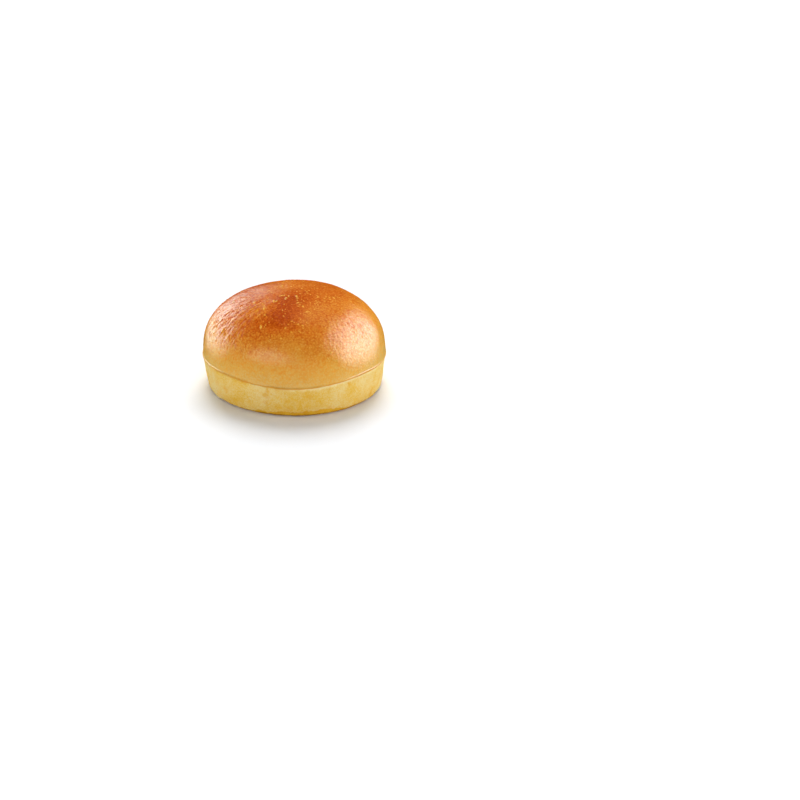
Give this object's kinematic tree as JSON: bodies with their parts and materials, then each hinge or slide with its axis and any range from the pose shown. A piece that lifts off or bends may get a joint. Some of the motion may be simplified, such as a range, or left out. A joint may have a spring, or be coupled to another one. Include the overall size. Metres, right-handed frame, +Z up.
{
  "type": "brioche bun",
  "caption": "Round brioche burger bun, sliced through level and standing closed: a glazed domed crown resting on a pale, flat-based heel.",
  "frame": {"origin": "middle of the flat base, on the surface that the bun stands on", "axes": "+Z up through the dome, -Y towards the front, +X to the right as seen from the front"},
  "size_m": [0.1096, 0.1092, 0.058],
  "materials": {
    "glazed_crust": "egg-washed bread crust, soft gloss, chestnut brown on top fading to golden yellow at the rim, with fine blisters and wrinkles; cream crumb on the cut face",
    "pale_crust": "matt pale yellow bread crust, mottled with gold, with a thin golden-brown base; cream crumb on the cut face"
  },
  "bodies": {
    "root": {"crown": "glazed_crust", "heel": "pale_crust"}
  },
  "joints": []
}
